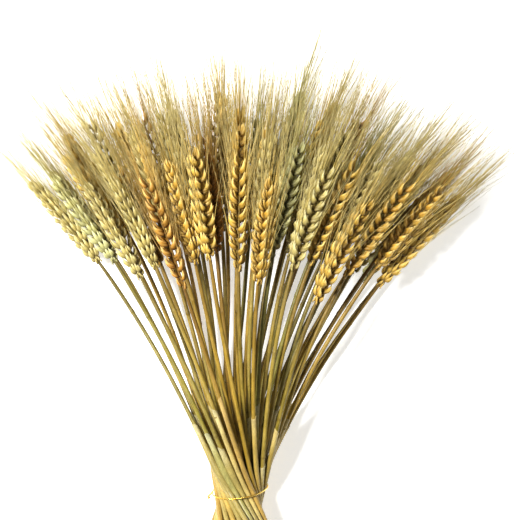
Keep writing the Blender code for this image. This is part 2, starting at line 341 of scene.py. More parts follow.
class Skin:
    """Gathers closed tubes into one mesh.

    Each vertex is a row of four vectors: its place, and three for the finishes. `grain` is the cosine and sine of
    its angle round the fibre and its length along it. `organ` is what it is. `growth` is its tone, its place from
    root (0) to tip (1), and how far it is darkened: painted shade in the straw's bore, at the husks' feet and on the
    straw under the ear, a darker band round the sheath's rim, and the joints' own dark marks.
    """

    def __init__(self) -> None:
        """Starts with nothing gathered."""
        self.count = 0
        self.rows: list[Array] = []
        self.quads: list[Array] = []
        self.triangles: list[Array] = [np.empty((0, 3), int)]

    def tubes(
        self, rings: Array, poles: Array | None, organ: Organ, tone: Array, along: Array, painted_shade_and_marks: Array, length: Array
    ) -> None:
        """Adds a batch of tubes, a grid of stations by sides for each, closed by a pole at both ends.

        The sides run round the heading by the right hand, so that every face points outwards.

        Args:
            rings: the grid points, (tubes, stations, sides, 3).
            poles: the two end points of each tube, (tubes, 2, 3), or None where the last ring meets the first.
            organ: what these tubes are.
            tone: one number for each tube, from 0 to 1.
            along: the place from root to tip, (tubes, stations).
            painted_shade_and_marks: how far a point is darkened, as painted shade or as a joint's own dark mark,
                (tubes, stations).
            length: the length along the fibre in metres, (tubes, stations).
        """
        batch, stations, sides = rings.shape[:3]
        shape = (batch, stations, sides)
        kind = np.broadcast_to(organ.value, (batch, stations, 3))
        tone = np.broadcast_to(np.asarray(tone)[:, None], (batch, stations))
        marks = np.concatenate([kind, np.stack([tone, along, painted_shade_and_marks], axis=-1)], axis=-1)
        angle = corners(sides)
        grain = [np.broadcast_to(part, shape) for part in (np.cos(angle), np.sin(angle), length[..., None])]
        every = np.broadcast_to(marks[:, :, None], (*shape, 6))
        rows = np.concatenate([rings, np.stack(grain, axis=-1), every], axis=-1).reshape(batch, -1, 12)
        size = stations * sides + (0 if poles is None else 2)
        start = self.count + np.arange(batch)[:, None, None] * size
        i, j = np.meshgrid(np.arange(stations - (poles is not None)), np.arange(sides), indexing="ij")
        after, beside = (i + 1) % stations, (j + 1) % sides
        quads = np.stack([i * sides + j, i * sides + beside, after * sides + beside, after * sides + j], axis=-1)
        self.quads.append((quads.reshape(1, -1, 4) + start).reshape(-1, 4))
        if poles is not None:
            ends = [0, -1]
            still = np.zeros((batch, 2, 2))
            rows = np.concatenate(
                [rows, np.concatenate([poles, still, length[:, ends, None], marks[:, ends]], axis=-1)], axis=1
            )
            j = np.arange(sides)
            k = (j + 1) % sides
            last = (stations - 1) * sides
            root_fan = np.stack([np.full(sides, size - 2), k, j], axis=-1)
            tip_fan = np.stack([np.full(sides, size - 1), last + j, last + k], axis=-1)
            self.triangles.append((np.concatenate([root_fan, tip_fan])[None] + start).reshape(-1, 3))
        self.rows.append(rows.reshape(-1, 12))
        self.count += batch * size

    def piece(self, name: str) -> Object:
        """Makes the gathered tubes one mesh object at the origin, pressed flat where it would dip into the table."""
        rows = np.concatenate(self.rows).astype(np.float32)
        rows[:, 2] = np.maximum(rows[:, 2], 0.0)
        quads, triangles = np.concatenate(self.quads), np.concatenate(self.triangles)
        loops = np.concatenate([quads.ravel(), triangles.ravel()])
        sizes = np.repeat([4, 3], [len(quads), len(triangles)])
        mesh = bpy.data.meshes.new(name)
        mesh.vertices.add(len(rows))
        mesh.vertices.foreach_set("co", rows[:, :3].ravel())
        mesh.loops.add(len(loops))
        mesh.loops.foreach_set("vertex_index", loops.astype(np.int32))
        mesh.polygons.add(len(sizes))
        mesh.polygons.foreach_set("loop_start", (np.cumsum(sizes) - sizes).astype(np.int32))
        mesh.update(calc_edges=True)
        for label, first in (("grain", 3), ("organ", 6), ("growth", 9)):
            layer = mesh.attributes.new(label, "FLOAT_VECTOR", "POINT")
            layer.data.foreach_set("vector", rows[:, first : first + 3].ravel())
        mesh.shade_smooth()
        return placed(bpy.data.objects.new(name, mesh))


def placed(thing: Object) -> Object:
    """Puts an object into the scene, and returns it."""
    bpy.context.scene.collection.objects.link(thing)
    return thing


def dressed(piece: Object, node: str, material: Material) -> Object:
    """Gives a piece its finish, and puts it in the place of its solid.

    Args:
        piece: the new piece.
        node: the solid that it replaces.
        material: the finish of that slot.

    Returns:
        The same piece.
    """
    piece.data.materials.append(material)
    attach(piece, "root")
    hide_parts(node)
    return piece


# ---- shader nodes


class Wiring:
    """Adds nodes to one node tree and links them, so that a finish reads as a list of sums."""

    def __init__(self, tree: Tree) -> None:
        """Works on this tree."""
        self.tree = tree

    def node(self, kind: str, **settings: object) -> bpy.types.Node:
        """A new node of this kind with these settings."""
        made = self.tree.nodes.new(kind)
        for name, value in settings.items():
            setattr(made, name, value)
        return made

    def feed(self, socket: Socket, value: Value) -> None:
        """Links another socket to this one, or sets its own value."""
        if isinstance(value, Socket):
            self.tree.links.new(value, socket)
        else:
            socket.default_value = value

    def sum(self, operation: str, one: Value, other: Value = 0.0) -> Socket:
        """The result of one Math operation, such as MULTIPLY."""
        made = self.node("ShaderNodeMath", operation=operation)
        self.feed(made.inputs[0], one)
        self.feed(made.inputs[1], other)
        return made.outputs[0]

    def blend(self, share: Value, one: Value, other: Value, mode: str = "MIX") -> Socket:
        """One colour turning into another, or another blend mode of the two."""
        made = self.node("ShaderNodeMix", data_type="RGBA", blend_type=mode, clamp_factor=True)
        self.feed(made.inputs[0], share)
        self.feed(made.inputs[6], one)
        self.feed(made.inputs[7], other)
        return made.outputs[2]

    def range(self, value: Value, low: float, high: float, start: float, end: float) -> Socket:
        """A value between low and high turned into one between start and end, held at both."""
        made = self.node("ShaderNodeMapRange", clamp=True)
        for socket, setting in zip(made.inputs, (value, low, high, start, end)):
            self.feed(socket, setting)
        return made.outputs[0]

    def noise(self, vector: Value, scale: Value, detail: float = 2.0, roughness: float = 0.5) -> Socket:
        """Noise from 0 to 1 at this vector."""
        made = self.node("ShaderNodeTexNoise")
        self.feed(made.inputs["Vector"], vector)
        self.feed(made.inputs["Scale"], scale)
        self.feed(made.inputs["Detail"], detail)
        self.feed(made.inputs["Roughness"], roughness)
        return made.outputs[0]

    def carried(self, name: str) -> Socket:
        """The vector that the mesh carries under this name."""
        return self.node("ShaderNodeAttribute", attribute_type="GEOMETRY", attribute_name=name).outputs["Vector"]

    def parts(self, vector: Value) -> list[Socket]:
        """The three parts of a vector."""
        made = self.node("ShaderNodeSeparateXYZ")
        self.feed(made.inputs[0], vector)
        return list(made.outputs)

    def bump(self, height: Value, strength: float, distance: float) -> Socket:
        """The normal of a surface with this height."""
        made = self.node("ShaderNodeBump")
        for name, value in (("Height", height), ("Strength", strength), ("Distance", distance)):
            self.feed(made.inputs[name], value)
        return made.outputs[0]

    def group(self, tree: Tree, **values: Value) -> bpy.types.Node:
        """Places a node group, with its inputs named with _ for each space."""
        made = self.node("ShaderNodeGroup", node_tree=tree)
        for name, value in values.items():
            self.feed(made.inputs[name.replace("_", " ")], value)
        return made


def new_finish(name: str) -> tuple[Material, Wiring, dict]:
    """A new material of this name, the wiring of its nodes, and its shader's inputs."""
    material = bpy.data.materials.new(name)
    material.use_nodes = True
    return material, Wiring(material.node_tree), material.node_tree.nodes["Principled BSDF"].inputs


def new_group(name: str, inputs: dict[str, str], outputs: dict[str, str]) -> tuple[Wiring, dict, dict]:
    """An empty shader node group.

    Args:
        name: the group's name.
        inputs: each input's name and its kind, such as Float.
        outputs: each output's name and kind.

    Returns:
        The wiring of the group, its inputs' sockets and its outputs' sockets, by name.
    """
    tree = bpy.data.node_groups.new(name, "ShaderNodeTree")
    for label, kind in inputs.items():
        tree.interface.new_socket(label, in_out="INPUT", socket_type=f"NodeSocket{kind}")
    for label, kind in outputs.items():
        tree.interface.new_socket(label, in_out="OUTPUT", socket_type=f"NodeSocket{kind}")
    wiring = Wiring(tree)
    entry, leaving = wiring.node("NodeGroupInput"), wiring.node("NodeGroupOutput")
    return wiring, {s.name: s for s in entry.outputs}, {s.name: s for s in leaving.inputs}


def fibre_group() -> Tree:
    """Fine streaks along a plant's fibres: noise on the angle and the length, with the length squeezed."""
    wiring, given, made = new_group(
        "fibre_streaks",
        {"Grain": "Vector", "Width": "Float", "Stretch": "Float"},
        {"Streaks": "Float", "Bands": "Float"},
    )
    joined = wiring.node("ShaderNodeCombineXYZ")
    for socket, part, factor in zip(joined.inputs, wiring.parts(given["Grain"]), ("Width", "Width", "Stretch")):
        wiring.feed(socket, wiring.sum("MULTIPLY", part, given[factor]))
    fine = wiring.noise(joined.outputs[0], 2.6, 3.0, 0.6)
    broad = wiring.noise(joined.outputs[0], 0.7, 1.0, 0.5)
    wiring.feed(made["Streaks"], wiring.range(fine, 0.28, 0.72, 0.0, 1.0))
    wiring.feed(made["Bands"], wiring.range(broad, 0.3, 0.7, 0.0, 1.0))
    return wiring.tree


def weather_group() -> Tree:
    """Patches and specks that sun and damp leave on a dry plant: coarse noise, and fine noise cut at its peaks."""
    wiring, given, made = new_group(
        "weathering",
        {"Point": "Vector", "Patch Scale": "Float", "Speck Scale": "Float"},
        {"Patches": "Float", "Specks": "Float"},
    )
    coarse = wiring.noise(given["Point"], given["Patch Scale"], 2.0, 0.55)
    fine = wiring.noise(given["Point"], given["Speck Scale"], 2.0, 0.6)
    wiring.feed(made["Patches"], wiring.range(coarse, 0.38, 0.66, 0.0, 1.0))
    wiring.feed(made["Specks"], wiring.range(fine, 0.60, 0.74, 0.0, 1.0))
    return wiring.tree


# ---- finishes


@dataclass(frozen=True)
class WheatFinish:
    """One tone of dried wheat. The colours are those of its husks, awns, straw and sheath."""

    slot: str
    husk: Colour
    husk_deep: Colour
    husk_tip: Colour
    awn_root: Colour
    awn_tip: Colour
    straw: Colour
    straw_green: Colour
    sheath: Colour
    # the colour of real specks, and the dark colour of the painted shade
    stain_and_shade: Colour

    def material(self, fibre: Tree, weather: Tree) -> Material:
        """Builds the finish, which tells husk, awn, straw and sheath apart by what the mesh carries.

        Args:
            fibre: the node group of streaks.
            weather: the node group of patches and specks.

        Returns:
            The material.
        """
        material, wiring, shader = new_finish(f"dry_{self.slot}")
        husk_share, awn_share, sheath_share = wiring.parts(wiring.carried("organ"))
        tone, along, painted_shade_and_marks = wiring.parts(wiring.carried("growth"))
        point = wiring.node("ShaderNodeTexCoord").outputs["Object"]
        marks = wiring.group(weather, Point=point, Patch_Scale=70.0, Speck_Scale=900.0)
        grain = wiring.carried("grain")
        lines = wiring.group(fibre, Grain=grain, Width=2.2, Stretch=130.0)
        streaks, bands = lines.outputs["Streaks"], lines.outputs["Bands"]

        straw = wiring.blend(tone, self.straw, self.straw_green)
        straw = wiring.blend(wiring.sum("MULTIPLY", bands, 0.45), straw, self.sheath)
        sheath = wiring.blend(wiring.sum("MULTIPLY", tone, 0.6), self.sheath, self.straw_green)
        sheath = wiring.blend(wiring.range(along, 0.80, 1.0, 0.0, 0.55), sheath, self.husk_tip)
        husk = wiring.blend(wiring.range(tone, 0.0, 1.0, 0.0, 0.75), self.husk, self.husk_deep)
        husk = wiring.blend(wiring.range(along, 0.55, 1.0, 0.0, 0.8), husk, self.husk_tip)
        margin = wiring.range(wiring.sum("ABSOLUTE", wiring.parts(grain)[1]), 0.78, 0.98, 0.0, 0.55)
        husk = wiring.blend(margin, husk, self.husk_tip)
        awn = wiring.blend(wiring.range(along, 0.0, 0.75, 0.0, 1.0), self.awn_root, self.awn_tip)
        colour = wiring.blend(sheath_share, straw, sheath)
        colour = wiring.blend(husk_share, colour, husk)
        colour = wiring.blend(awn_share, colour, awn)
        # painted shade: darkens towards the dark stain colour by the mesh's mask, which holds painted shade in
        # recesses, at the husks' feet and under the ears, and the joints' own dark marks
        colour = wiring.blend(wiring.range(painted_shade_and_marks, 0.0, 1.0, 0.0, 0.85), colour, self.stain_and_shade)
        colour = wiring.blend(wiring.sum("MULTIPLY", marks.outputs["Specks"], 0.5), colour, self.stain_and_shade)
        low = wiring.range(husk_share, 0.0, 1.0, 0.58, 0.74)
        shade = wiring.sum("ADD", low, wiring.sum("MULTIPLY", streaks, wiring.sum("SUBTRACT", 1.16, low)))
        shade = wiring.sum("MULTIPLY", shade, wiring.range(marks.outputs["Patches"], 0.0, 1.0, 0.84, 1.08))
        grey = wiring.node("ShaderNodeCombineXYZ")
        for socket in grey.inputs:
            wiring.feed(socket, shade)
        colour = wiring.blend(1.0, colour, grey.outputs[0], "MULTIPLY")

        wiring.feed(shader["Base Color"], colour)
        rough = wiring.sum("ADD", wiring.range(streaks, 0.0, 1.0, 0.50, 0.30), wiring.sum("MULTIPLY", husk_share, 0.06))
        wiring.feed(shader["Roughness"], rough)
        shader["Specular IOR Level"].default_value = 0.30
        shader["Coat Weight"].default_value = 0.12
        shader["Coat Roughness"].default_value = 0.30
        wiring.feed(shader["Normal"], wiring.bump(streaks, 0.5, 0.0002))
        return material


class WheatTone(Enum):
    """The tones of wheat in the bunch, each named by its slot in the record."""

    GOLDEN = WheatFinish(
        slot="golden_wheat",
        husk=paint(242, 204, 96),
        husk_deep=paint(214, 160, 48),
        husk_tip=paint(252, 234, 166),
        awn_root=paint(222, 188, 92),
        awn_tip=paint(222, 202, 134),
        straw=paint(180, 144, 42),
        straw_green=paint(126, 112, 32),
        sheath=paint(212, 182, 100),
        stain_and_shade=paint(84, 46, 6),
    )
    STRAW = WheatFinish(
        slot="straw_wheat",
        husk=paint(226, 210, 134),
        husk_deep=paint(192, 172, 88),
        husk_tip=paint(246, 238, 190),
        awn_root=paint(218, 194, 106),
        awn_tip=paint(222, 206, 144),
        straw=paint(170, 144, 52),
        straw_green=paint(124, 116, 42),
        sheath=paint(212, 190, 118),
        stain_and_shade=paint(76, 48, 8),
    )
    GREEN = WheatFinish(
        slot="green_wheat",
        husk=paint(224, 220, 152),
        husk_deep=paint(192, 186, 108),
        husk_tip=paint(240, 238, 196),
        awn_root=paint(200, 190, 106),
        awn_tip=paint(214, 202, 140),
        straw=paint(152, 136, 42),
        straw_green=paint(114, 108, 34),
        sheath=paint(192, 182, 112),
        stain_and_shade=paint(62, 48, 10),
    )
    AMBER = WheatFinish(
        slot="amber_wheat",
        husk=paint(232, 182, 84),
        husk_deep=paint(198, 138, 46),
        husk_tip=paint(246, 216, 144),
        awn_root=paint(218, 174, 82),
        awn_tip=paint(222, 196, 128),
        straw=paint(172, 132, 40),
        straw_green=paint(132, 106, 32),
        sheath=paint(206, 172, 94),
        stain_and_shade=paint(86, 40, 6),
    )


@dataclass(frozen=True)
class GiltFinish:
    """Bright gilt wire, rubbed paler in patches."""

    gilt: Colour = paint(252, 200, 72)
    rubbed: Colour = paint(255, 232, 146)
    tarnish: Colour = paint(150, 92, 24)

    def material(self, weather: Tree) -> Material:
        """Builds the finish, with the weathering group for its rubbed patches."""
        material, wiring, shader = new_finish("bright_gilt")
        point = wiring.node("ShaderNodeTexCoord").outputs["Object"]
        marks = wiring.group(weather, Point=point, Patch_Scale=260.0, Speck_Scale=2400.0)
        _, _, painted_shade_and_marks = wiring.parts(wiring.carried("growth"))
        colour = wiring.blend(marks.outputs["Patches"], self.gilt, self.rubbed)
        colour = wiring.blend(wiring.sum("MULTIPLY", painted_shade_and_marks, 0.6), colour, self.tarnish)
        wiring.feed(shader["Base Color"], colour)
        shader["Metallic"].default_value = 1.0
        wiring.feed(shader["Roughness"], wiring.range(marks.outputs["Patches"], 0.0, 1.0, 0.34, 0.20))
        wiring.feed(shader["Normal"], wiring.bump(marks.outputs["Specks"], 0.3, 0.00005))
        return material


@dataclass(frozen=True)
class TableFinish:
    """A plain, nearly white table top."""

    white: Colour = paint(246, 246, 245)
    cloud: Colour = paint(241, 241, 240)
    glow: float = 0.62

    def material(self) -> Material:
        """Builds the finish: two whites in soft clouds, with a glow that keeps the shadows faint."""
        material, wiring, shader = new_finish("pale_table")
        point = wiring.node("ShaderNodeTexCoord").outputs["Object"]
        wiring.feed(shader["Base Color"], wiring.blend(wiring.noise(point, 5.0), self.white, self.cloud))
        shader["Roughness"].default_value = 0.75
        shader["Emission Color"].default_value = self.white
        shader["Emission Strength"].default_value = self.glow
        return material


# ---- the stalk


@dataclass(frozen=True)
class Straw:
    """The hollow straw, with its joints, and the leaf sheath wrapped round its lower part.

    A low straw is one that lies behind the front ones. Its sheath is loose just past the tie.
    """

    sides: int = 12
    spacing: float = 0.006
    upper_skin: float = 0.00036
    tip_radius: float = 0.00045
    bore: float = 0.62
    bore_depth: float = 0.008
    # how dark the painted shade on the straw under the ear gets
    ear_shade: float = 0.54
    ear_shade_reach: Pair = (0.085, 0.080)  # where the painted shade under the ear starts, short of the ear's foot, and over what length it grows
    low_share: float = 0.45
    sheathed_share: float = 0.72
    joint_swell: float = 0.15
    joint_length: float = 0.0011
    joint_stations: tuple[float, ...] = (-3.2, -1.8, -1.0, -0.4, 0.2, 0.8, 1.6, 3.0)  # in millimetres
    sheathed_joint: Pair = (0.020, 0.078)
    bare_joint: Pair = (0.035, 0.125)
    low_joint: float = 0.046
    next_joint: Pair = (0.075, 0.110)
    last_joint: float = 0.030
    rim_range: Pair = (-0.012, 0.006)
    sheath_wall: float = 0.00026
    sheath_overlap: float = 0.00014
    sheath_slack: float = 0.0009
    slack_place: Pair = (0.020, 0.014)  # where the sheath is loosest, and over what length
    rim_flare: float = 0.07
    rim_tooth: float = 0.0016

    def radius(self, course: Course, length: Array) -> Array:
        """The bare straw's radius: straight tapers between the cut, the tie, the ear's foot and the ear's tip."""
        at_cut, at_tie, at_ear = course.sizes.straw_radius
        marks = [-course.cut, 0.0, course.ear_foot - 0.02, course.ear_foot, course.ear_foot + course.ear_length]
        return np.interp(length, marks, [at_cut, at_tie, at_ear + self.upper_skin, at_ear, self.tip_radius])

    def rings(self, course: Course, length: Array, radius: Array, slant: Array) -> Array:
        """Circles round the stalk's line, with each point moved along the line by its slant.

        Args:
            course: the stalk's line.
            length: the stations along it, (stations,).
            radius: the radius at each, (stations, 1) or (stations, sides).
            slant: how far each point is moved, (stations, sides).

        Returns:
            The grid of points, (1, stations, sides, 3).
        """
        heading, row, through = course.axes(length)
        rings = encircled(course.at(length), row, through, self.sides, radius)
        return (rings + heading[:, None] * slant[..., None])[None]

    def build(self, skin: Skin, course: Course, draw: Draw) -> None:
        """Adds the straw and its sheath to the stalk's skin.

        The straw's rings start deep in its bore, come out to the slanting cut, and run on to the ear's tip.

        Args:
            skin: the stalk's skin.
            course: the stalk's line.
            draw: the random generator that places joints and sheath.
        """
        tone = draw.uniform(0, 1)
        low = course.place[1] < self.low_share * course.bundle
        sheathed = draw.random() < self.sheathed_share or low
        joint = draw.uniform(*(self.sheathed_joint if sheathed else self.bare_joint))
        joint = max(joint, self.low_joint) if low else joint
        upper = joint + draw.uniform(*self.next_joint)
        joints = np.array([joint, upper] if upper < course.ear_foot - self.last_joint else [joint])
        end = course.ear_foot + 0.96 * course.ear_length
        fine = (joints[:, None] + np.array(self.joint_stations) * 0.001).ravel()
        even = np.arange(-course.cut + self.spacing, end, self.spacing)
        length = np.sort(np.concatenate([[-course.cut], even, fine, [end]]))
        bump = np.exp(-(((length[:, None] - joints) / self.joint_length) ** 2)).sum(1)
        radius = self.radius(course, length) * (1 + self.joint_swell * bump)
        oblique = draw.uniform(0.1, 0.7) * np.cos(corners(self.sides) + draw.uniform(0, 6.28)) * radius[0]
        slant = np.zeros((len(length) + 2, self.sides))
        slant[1:3] = oblique
        # painted shade: the straw darkens towards the ear's foot, as if in the ears' shadow
        start, reach = self.ear_shade_reach
        painted_ear_shade = self.ear_shade * smooth((length - course.ear_foot + start) / reach)
        # painted shade: dark deep in the bore and partly at its mouth, and on the straw under the ear; the joints
        # darken as their own dark marks
        painted_shade_and_marks = np.concatenate([[1.0, 0.35], np.maximum(0.40 * bump, painted_ear_shade)])
        bore = self.bore * radius[0]
        length = np.concatenate([[-course.cut + self.bore_depth, -course.cut], length])
        radius = np.concatenate([[0.95 * bore, bore], radius])
        rings = self.rings(course, length, radius[:, None], slant)
        poles = course.at(length[[0, -1]])[None]
        fibre = length[None] + draw.uniform(0, 9)
        skin.tubes(rings, poles, Organ.STRAW, [tone], share_of(length)[None], painted_shade_and_marks[None], fibre)
        if sheathed:
            slack = self.sheath_slack if low else 0.0
            self.wrap(skin, course, draw, joint + draw.uniform(*self.rim_range), tone, slack)

    def wrap(self, skin: Skin, course: Course, draw: Draw, rim: float, tone: float, slack: float) -> None:
        """Adds the sheath: a wall round the straw whose radius grows with the angle, so that one edge laps the other.

        Args:
            skin: the stalk's skin.
            course: the stalk's line.
            draw: the random generator that turns the seam and slants the rim.
            rim: where the sheath ends, along the stalk.
            tone: the straw's tone.
            slack: how far it stands off at its loosest.
        """
        even = np.linspace(-course.cut, rim, max(4, int((rim + course.cut) / self.spacing)))
        length = np.concatenate([even, [rim + 0.0007], [rim + 0.0005], even[::-1]])
        outer = np.arange(len(length)) <= len(even)
        turn = (np.arange(self.sides) / self.sides + draw.uniform(0, 1)) % 1.0
        lap = self.sheath_wall + self.sheath_overlap * (2 * turn - 1)
        flare = 1 + self.rim_flare * np.exp(-(((rim - length) / 0.0022) ** 2))
        bare = self.radius(course, length)
        loosest, spread = self.slack_place
        loose = slack * np.exp(-(((length - loosest) / spread) ** 2))
        radius = np.where(outer[:, None], (bare * flare + loose)[:, None] + lap[None], 0.97 * bare[:, None])
        tooth = self.rim_tooth * np.cos(2 * math.pi * turn) + draw.uniform(-0.0004, 0.0004, self.sides)
        slant = tooth[None] * smooth((length - rim + 0.006) / 0.006)[:, None]
        rings = self.rings(course, length, radius, slant)
        # a darker band round the sheath's rim
        painted_shade_and_marks = 0.30 * np.exp(-(((length - rim) / 0.0016) ** 2))
        tone = np.clip(tone + draw.uniform(-0.4, 0.2), 0, 1)
        fibre = length[None] + draw.uniform(0, 9)
        skin.tubes(rings, None, Organ.SHEATH, [tone], share_of(length)[None], painted_shade_and_marks[None], fibre)


@dataclass(frozen=True)
class Husks:
    """The husks of one ear, with one row for each."""

    order: Array  # the number of its spikelet, from the ear's foot
    middle: Array  # 1 for the floret between the other two, else 0
    glume: Array  # 1 for a glume, 0 for a floret
    size: Array  # as a share of the largest
    tone: Array
    place: Array  # of its tip, along the stalk
    foot: Array
    top: Array
    outward: Array  # the way that it faces


@dataclass(frozen=True)
class Ear:
    """The ear: a glume and a floret in front and behind on each spikelet, one floret between, and their awns.

    The three numbers of a tip's place are a front floret's, what a middle floret has more, and what a glume has more.
    The two of a root's depth are a floret's and what a glume has more.
    """

    floret_length: float = 0.0126
    floret_half_width: float = 0.00215
    floret_half_depth: float = 0.0019
    glume_share: float = 0.72
    bow: float = 0.12
    smallest: float = 0.58
    stunting: float = 0.52
    stunted_spikelets: float = 2.2
    tip_across: Triple = (0.74, -0.14, 0.04)  # in half widths of the ear
    tip_deep: Triple = (0.64, 0.0, 0.20)  # in half depths of the ear
    tip_along: Triple = (0.80, 0.40, -0.65)  # in steps from spikelet to spikelet
    root_across: float = 0.0008
    root_deep: Pair = (0.0010, 0.0008)
    sides: int = 6
    stations: tuple[float, ...] = (0.03, 0.12, 0.28, 0.48, 0.70, 0.88)
    blunt: float = 0.55
    drawn_out: float = 1.2
    awn_share: float = 0.84
    awn_reach: Pair = (1.10, 0.14)  # in awn lengths, at the ear's foot and more at its tip
    awn_range: Pair = (0.74, 1.0)
    awn_spread: Pair = (3.0, 18.0)  # in degrees
    awn_turn: float = 0.014
    awn_stray: float = 0.05
    awn_curl: float = 0.0045
    awn_stations: tuple[float, ...] = (0.0, 0.10, 0.26, 0.48, 0.74, 1.0)
    awn_root_radius: float = 0.00026
    awn_tip_radius: float = 0.00008
    awn_sides: int = 3
    awn_lowest: float = 0.0006

    def build(self, skin: Skin, course: Course, draw: Draw) -> None:
        """Adds all husks and awns to the stalk's skin.

        Args:
            skin: the stalk's skin.
            course: the stalk's line.
            draw: the random generator that varies them.
        """
        husks = self.laid_out(course, draw)
        self.add_husks(skin, husks, draw)
        self.add_awns(skin, course, husks, draw)

    def laid_out(self, course: Course, draw: Draw) -> Husks:
        """Where the husks of each spikelet stand: two rows of spikelets that take turns up the ear.

        Args:
            course: the stalk's line.
            draw: the random generator that varies them.

        Returns:
            The husks, five to a spikelet, from the ear's foot to its tip.
        """
        count = course.sizes.spikelets
        facing = np.tile([1.0, -1.0, 0.0, 1.0, -1.0], count)
        glume = np.tile([0.0, 0.0, 0.0, 1.0, 1.0], count)
        middle = (facing == 0.0).astype(float)
        order = np.repeat(np.arange(count), 5)
        side = np.where(order % 2 == 0, 1.0, -1.0)
        stout = girth(order / (count - 1))
        stunted = 1 - self.stunting * np.exp(-order / self.stunted_spikelets)
        size = (self.smallest + (1 - self.smallest) * stout) * stunted * draw.uniform(0.93, 1.07, len(order))
        long = self.floret_length * size * np.where(glume > 0, self.glume_share, 1.0) * (1 + 0.05 * middle)
        kinds = np.stack([np.ones(len(order)), middle, glume])
        across, deep, along = (np.array(sizes) @ kinds for sizes in (self.tip_across, self.tip_deep, self.tip_along))
        across = side * course.sizes.ear_half_width * stout * stunted * across * draw.uniform(0.94, 1.06, len(order))
        deep = facing * course.sizes.ear_half_depth * stout * stunted * deep + draw.normal(0, 0.00025, len(order))
        tip = course.ear_foot + (order + along) * course.step
        root_across, root_deep = side * self.root_across, facing * (self.root_deep[0] + self.root_deep[1] * glume)
        run = np.sqrt(np.maximum(long**2 - (across - root_across) ** 2 - (deep - root_deep) ** 2, 1e-6))
        _, row, through = course.axes(tip)
        tone = np.clip(draw.uniform(0.0, 0.7) + draw.normal(0, 0.16, len(order)) + 0.15 * glume, 0, 1)
        outward = row * (side * 0.8)[:, None] + through * (facing * (0.5 + 0.5 * glume))[:, None]
        foot, top = course.spot(tip - run, root_across, root_deep), course.spot(tip, across, deep)
        return Husks(order, middle, glume, size, tone, tip, foot, top, outward)

    def add_husks(self, skin: Skin, husks: Husks, draw: Draw) -> None:
        """Adds the husks: ovals round a bowed axis, blunt at the foot and pointed at the top.

        The oval's size at t is t^blunt * (1-t)^drawn_out, brought to 1 at its widest. Its outer side has a low keel,
        and its inner side is flattened.

        Args:
            skin: the stalk's skin.
            husks: where the husks stand.
            draw: the random generator.
        """
        t = np.array(self.stations)
        widest = self.blunt / (self.blunt + self.drawn_out)
        profile, most = (u**self.blunt * (1 - u) ** self.drawn_out for u in (t, widest))
        axis = husks.top - husks.foot
        heading = unit(axis)
        face = unit(husks.outward - heading * (husks.outward * heading).sum(-1, keepdims=True))
        beside = np.cross(heading, face)
        angle = corners(self.sides)
        plump = husks.size * draw.uniform(0.94, 1.08, len(husks.size))
        wide = self.floret_half_width * plump * (1 - 0.06 * husks.glume)
        deep = self.floret_half_depth * plump * (1 - 0.30 * husks.glume)
        bow = self.bow * np.linalg.norm(axis, axis=-1)[:, None] * np.sin(math.pi * t)
        centre = husks.foot[:, None] + axis[:, None] * t[:, None] + face[:, None] * bow[..., None]
        keeled = np.where(np.cos(angle) > 0.9, 1.15, np.where(np.cos(angle) > 0, 1.0, 0.72)) * np.cos(angle)
        ring = (
            face[:, None, None] * (deep[:, None, None] * keeled)[..., None]
            + beside[:, None, None] * (wide[:, None, None] * np.sin(angle))[..., None]
        )
        rings = centre[:, :, None] + ring * (profile / most)[:, None, None]
        poles = np.stack([husks.foot, husks.top], axis=1)
        along = np.broadcast_to(t, (len(rings), len(t)))
        # painted shade: each husk darkens towards its foot, where it tucks under the husk below
        painted_shade_and_marks = np.clip(1.10 * (1 - along) ** 1.9, 0, 1)
        fibre = along * 0.010 + draw.uniform(0, 9, (len(rings), 1))
        skin.tubes(rings, poles, Organ.HUSK, husks.tone, along, painted_shade_and_marks, fibre)

    def add_awns(self, skin: Skin, course: Course, husks: Husks, draw: Draw) -> None:
        """Adds the awns: bristles that leave the husk along its axis and turn towards the stalk's heading.

        The direction at s is the husk's own times e^(-s/awn_turn), plus the final one times the rest, and the line
        is the running sum of the directions. The radius shrinks evenly from root to tip.

        Args:
            skin: the stalk's skin.
            course: the stalk's line.
            husks: where the husks stand.
            draw: the random generator.
        """
        kept = draw.random(len(husks.order)) < self.awn_share
        grown = np.flatnonzero((husks.glume == 0) & (husks.order > 0) & kept)
        # A middle floret stands for two, so it grows a second awn.
        grown = np.concatenate([grown, np.flatnonzero((husks.middle > 0) & (husks.order > 1))])
        count = len(grown)
        least, more = self.awn_reach
        reach = course.sizes.awn_length * (least + more * husks.order[grown] / (course.sizes.spikelets - 1))
        reach = reach * draw.uniform(*self.awn_range, count)
        foot, top, outward = husks.foot[grown], husks.top[grown], unit(husks.outward[grown])
        heading, row, through = course.axes(np.minimum(husks.place[grown], course.ear_foot + course.ear_length))
        start = unit(unit(top - foot) - outward * 0.7 * math.pi * self.bow)
        spread = np.tan(np.radians(draw.uniform(*self.awn_spread, count)))
        stray = row * draw.normal(0, self.awn_stray, (count, 1)) + through * draw.normal(0, self.awn_stray, (count, 1))
        final = unit(heading + outward * spread[:, None] + stray)
        share = np.array(self.awn_stations)
        between = 0.5 * (share[1:] + share[:-1])
        fade = np.exp(-between[None] * reach[:, None] / self.awn_turn)[..., None]
        way = unit(start[:, None] * fade + final[:, None] * (1 - fade))
        legs = way * (np.diff(share)[None] * reach[:, None])[..., None]
        root = (top - start * 0.0006)[:, None]
        line = np.concatenate([root, root + np.cumsum(legs, axis=1)], axis=1)
        curl = unit(draw.normal(0, 1, (count, 3))) * draw.uniform(0.0, self.awn_curl, (count, 1))
        line = line + curl[:, None] * (share**2)[:, None]
        line[..., 2] = np.maximum(line[..., 2], self.awn_lowest)
        ahead = unit(np.gradient(line, axis=1))
        across = unit(np.cross(ahead, outward[:, None] + 0.01))
        radius = self.awn_root_radius + (self.awn_tip_radius - self.awn_root_radius) * share
